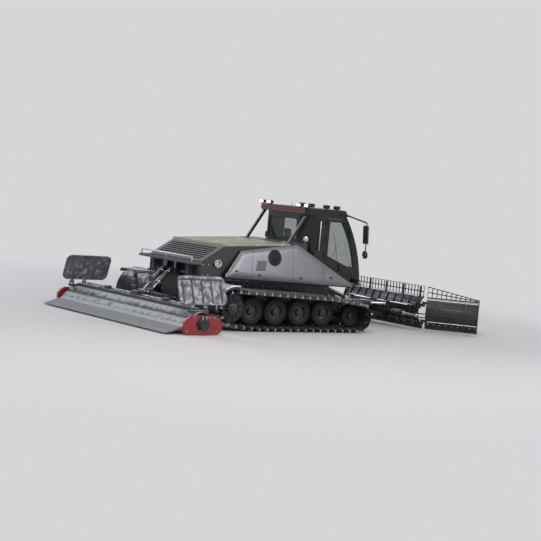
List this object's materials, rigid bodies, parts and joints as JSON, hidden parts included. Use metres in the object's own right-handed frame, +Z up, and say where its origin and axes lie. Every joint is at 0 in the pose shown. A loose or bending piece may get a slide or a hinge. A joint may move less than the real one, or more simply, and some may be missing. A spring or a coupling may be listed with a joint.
{
  "type": "snow groomer",
  "caption": "Wide-tracked piste groomer with a forward glazed cab, a lidded engine hood, a folding-wing blade on a lift frame and a lifting tiller with finisher mats.",
  "frame": {"origin": "on the ground under the middle of the whole machine's box, blade and tiller included", "axes": "+X forward, +Y to the machine's left, +Z up"},
  "size_m": [9.5165, 5.76, 2.952],
  "materials": {
    "chassis_steel": "satin black paint",
    "axle_steel": "satin dark grey paint",
    "tyre_rubber": "matte",
    "sprocket_steel": "satin dark grey",
    "track_rubber": "matte black belt with aluminium cleats",
    "engine_iron": "rough",
    "housing_paint": "satin dark green-grey paint",
    "panel_silver": "metallic silver-grey paint",
    "lid_paint": "light grey-green paint",
    "deck_steel": "textured grey paint",
    "guard_plastic": "matte black",
    "cab_paint": "gloss black paint",
    "roof_plastic": "black composite",
    "window_glass": "tinted clear glass",
    "seat_fabric": "black upholstery",
    "dash_plastic": "grained dark grey",
    "mirror_plastic": "matte black",
    "lamp_body": "black housings with pale lenses",
    "frame_paint": "satin black paint",
    "rail_aluminium": "brushed",
    "blade_steel": "satin black paint with a worn edge",
    "barrel_paint": "satin black paint",
    "rod_chrome": "polished",
    "tiller_steel": "satin dark grey paint",
    "end_plate_red": "gloss red paint",
    "finisher_rubber": "grey flexible mat"
  },
  "bodies": {
    "chassis": {"chassis_frame": "chassis_steel", "side_sills": "chassis_steel", "wheel_axles": "axle_steel", "road_wheels": "tyre_rubber", "drive_sprockets": "sprocket_steel", "track_left": "track_rubber", "track_right": "track_rubber", "engine_block": "engine_iron", "engine_housing": "housing_paint", "side_panels": "panel_silver", "rear_deck": "deck_steel", "mudguards": "guard_plastic", "cab_shell": "cab_paint", "cab_roof": "roof_plastic", "cab_glass": "window_glass", "seats": "seat_fabric", "console": "dash_plastic", "mirrors": "mirror_plastic", "work_lights": "lamp_body", "rollover_struts": "frame_paint", "handrails": "rail_aluminium"},
    "hood_lid": {"hood_lid": "lid_paint"},
    "door_left": {"door_left": "cab_paint", "door_glass_left": "window_glass"},
    "door_right": {"door_right": "cab_paint", "door_glass_right": "window_glass"},
    "blade_lift": {"blade_lift_frame": "blade_steel"},
    "blade_lift_barrels": {"blade_lift_barrels": "barrel_paint"},
    "blade_lift_rods": {"blade_lift_rods": "rod_chrome"},
    "blade_turn": {"blade_turn_frame": "blade_steel"},
    "blade_tilt": {"blade_tilt_frame": "blade_steel"},
    "moldboard": {"moldboard": "blade_steel"},
    "wing_left": {"wing_left": "blade_steel"},
    "wing_right": {"wing_right": "blade_steel"},
    "angle_barrel_left": {"angle_barrel_left": "barrel_paint"},
    "angle_barrel_right": {"angle_barrel_right": "barrel_paint"},
    "angle_rod_left": {"angle_rod_left": "rod_chrome"},
    "angle_rod_right": {"angle_rod_right": "rod_chrome"},
    "wing_barrel_left": {"wing_barrel_left": "barrel_paint"},
    "wing_barrel_right": {"wing_barrel_right": "barrel_paint"},
    "wing_rod_left": {"wing_rod_left": "rod_chrome"},
    "wing_rod_right": {"wing_rod_right": "rod_chrome"},
    "tiller_lift": {"tiller_lift_frame": "tiller_steel"},
    "tiller_lift_barrels": {"tiller_lift_barrels": "barrel_paint"},
    "tiller_lift_rods": {"tiller_lift_rods": "rod_chrome"},
    "tiller": {"tiller_housing": "tiller_steel", "tiller_end_plates": "end_plate_red", "tiller_motors": "barrel_paint"},
    "tiller_rotor": {"tiller_rotor": "tiller_steel"},
    "finisher": {"finisher": "finisher_rubber"},
    "side_finisher_left": {"side_finisher_left": "tiller_steel"},
    "side_finisher_right": {"side_finisher_right": "tiller_steel"}
  },
  "joints": [
    {"name": "hood_lid_hinge", "type": "hinge", "parent": "chassis", "child": "hood_lid", "pos_m": [-0.31, 0, 1.998], "axis": [0, 1, 0], "range_deg": [0, 60]},
    {"name": "door_left_hinge", "type": "hinge", "parent": "chassis", "child": "door_left", "pos_m": [0.838, 0.936, 1.9], "axis": [0, 0, 1], "range_deg": [0, 80]},
    {"name": "door_right_hinge", "type": "hinge", "parent": "chassis", "child": "door_right", "pos_m": [0.838, -0.936, 1.9], "axis": [0, 0, -1], "range_deg": [0, 80]},
    {"name": "blade_lift", "type": "hinge", "parent": "chassis", "child": "blade_lift", "pos_m": [1.6, 0, 0.48], "axis": [0, -1, 0], "range_deg": [-5, 25]},
    {"name": "blade_barrel_pivot", "type": "hinge", "parent": "chassis", "child": "blade_lift_barrels", "pos_m": [1.53, 0, 0.905], "axis": [0, -1, 0], "range_deg": [-5, 22]},
    {"name": "blade_rod_slide", "type": "slide", "parent": "blade_lift_barrels", "child": "blade_lift_rods", "axis": [0.9445, 0, -0.3285], "range_m": [-0.18, 0.04]},
    {"name": "blade_turn", "type": "hinge", "parent": "blade_lift", "child": "blade_turn", "pos_m": [3, 0, 0.48], "axis": [0, 0, 1], "range_deg": [-20, 20]},
    {"name": "angle_left_pivot", "type": "hinge", "parent": "blade_lift", "child": "angle_barrel_left", "pos_m": [1.9, 0.47, 0.6], "axis": [0, 0, 1], "range_deg": [-5, 5]},
    {"name": "angle_left_slide", "type": "slide", "parent": "angle_barrel_left", "child": "angle_rod_left", "axis": [0.9827, 0.1853, 0], "range_m": [-0.24, 0.24]},
    {"name": "angle_right_pivot", "type": "hinge", "parent": "blade_lift", "child": "angle_barrel_right", "pos_m": [1.9, -0.47, 0.6], "axis": [0, 0, 1], "range_deg": [-5, 5]},
    {"name": "angle_right_slide", "type": "slide", "parent": "angle_barrel_right", "child": "angle_rod_right", "axis": [0.9827, -0.1853, 0], "range_m": [-0.24, 0.24]},
    {"name": "blade_tilt", "type": "hinge", "parent": "blade_turn", "child": "blade_tilt", "pos_m": [3.33, 0, 0.48], "axis": [1, 0, 0], "range_deg": [-7, 7]},
    {"name": "blade_pitch", "type": "hinge", "parent": "blade_tilt", "child": "moldboard", "pos_m": [3.48, 0, 0.3], "axis": [0, 1, 0], "range_deg": [-8, 8]},
    {"name": "wing_left_fold", "type": "hinge", "parent": "moldboard", "child": "wing_left", "pos_m": [3.74, 1.48, 0.455], "axis": [0, 0, -1], "range_deg": [-55, 15]},
    {"name": "wing_left_ram_pivot", "type": "hinge", "parent": "moldboard", "child": "wing_barrel_left", "pos_m": [3.48, 0.56, 0.4], "axis": [0, 0, 1], "range_deg": [-5, 5]},
    {"name": "wing_left_ram_slide", "type": "slide", "parent": "wing_barrel_left", "child": "wing_rod_left", "axis": [-0.0155, 0.9999, 0], "range_m": [-0.25, 0.08]},
    {"name": "wing_right_fold", "type": "hinge", "parent": "moldboard", "child": "wing_right", "pos_m": [3.74, -1.48, 0.455], "axis": [0, 0, 1], "range_deg": [-55, 15]},
    {"name": "wing_right_ram_pivot", "type": "hinge", "parent": "moldboard", "child": "wing_barrel_right", "pos_m": [3.48, -0.56, 0.4], "axis": [0, 0, 1], "range_deg": [-5, 5]},
    {"name": "wing_right_ram_slide", "type": "slide", "parent": "wing_barrel_right", "child": "wing_rod_right", "axis": [-0.0155, -0.9999, 0], "range_m": [-0.25, 0.08]},
    {"name": "tiller_lift", "type": "hinge", "parent": "chassis", "child": "tiller_lift", "pos_m": [-2.98, 0, 0.5], "axis": [0, 1, 0], "range_deg": [-4, 25]},
    {"name": "tiller_barrel_pivot", "type": "hinge", "parent": "chassis", "child": "tiller_lift_barrels", "pos_m": [-3.05, 0, 1.19], "axis": [0, 1, 0], "range_deg": [-2, 11.5]},
    {"name": "tiller_rod_slide", "type": "slide", "parent": "tiller_lift_barrels", "child": "tiller_lift_rods", "axis": [-0.7071, 0, -0.7071], "range_m": [-0.26, 0.045]},
    {"name": "tiller_roll", "type": "hinge", "parent": "tiller_lift", "child": "tiller", "pos_m": [-3.74, 0, 0.6], "axis": [1, 0, 0], "range_deg": [-5, 5]},
    {"name": "tiller_rotor_spin", "type": "hinge", "parent": "tiller", "child": "tiller_rotor", "pos_m": [-3.85, 0, 0.245], "axis": [0, 1, 0], "continuous": true},
    {"name": "finisher_hinge", "type": "hinge", "parent": "tiller", "child": "finisher", "pos_m": [-4.125, 0, 0.335], "axis": [0, 1, 0], "range_deg": [0, 15]},
    {"name": "side_finisher_left_fold", "type": "hinge", "parent": "tiller", "child": "side_finisher_left", "pos_m": [-3.85, 2.62, 0.585], "axis": [-1, 0, 0], "range_deg": [0, 135]},
    {"name": "side_finisher_right_fold", "type": "hinge", "parent": "tiller", "child": "side_finisher_right", "pos_m": [-3.85, -2.62, 0.585], "axis": [1, 0, 0], "range_deg": [0, 135]}
  ],
  "couplings": [
    {"joint": "blade_barrel_pivot", "follows": "blade_lift", "ratio": 0.8366},
    {"joint": "blade_rod_slide", "follows": "blade_lift", "m_per_rad": -0.4018},
    {"joint": "angle_left_pivot", "follows": "blade_turn", "ratio": 0.1996},
    {"joint": "angle_left_slide", "follows": "blade_turn", "m_per_rad": -0.6638},
    {"joint": "angle_right_pivot", "follows": "blade_turn", "ratio": 0.1996},
    {"joint": "angle_right_slide", "follows": "blade_turn", "m_per_rad": 0.6638},
    {"joint": "wing_left_ram_pivot", "follows": "wing_left_fold", "ratio": 0.0508},
    {"joint": "wing_left_ram_slide", "follows": "wing_left_fold", "m_per_rad": 0.2564},
    {"joint": "wing_right_ram_pivot", "follows": "wing_right_fold", "ratio": -0.0508},
    {"joint": "wing_right_ram_slide", "follows": "wing_right_fold", "m_per_rad": 0.2564},
    {"joint": "tiller_barrel_pivot", "follows": "tiller_lift", "ratio": 0.4147},
    {"joint": "tiller_rod_slide", "follows": "tiller_lift", "m_per_rad": -0.5687}
  ]
}
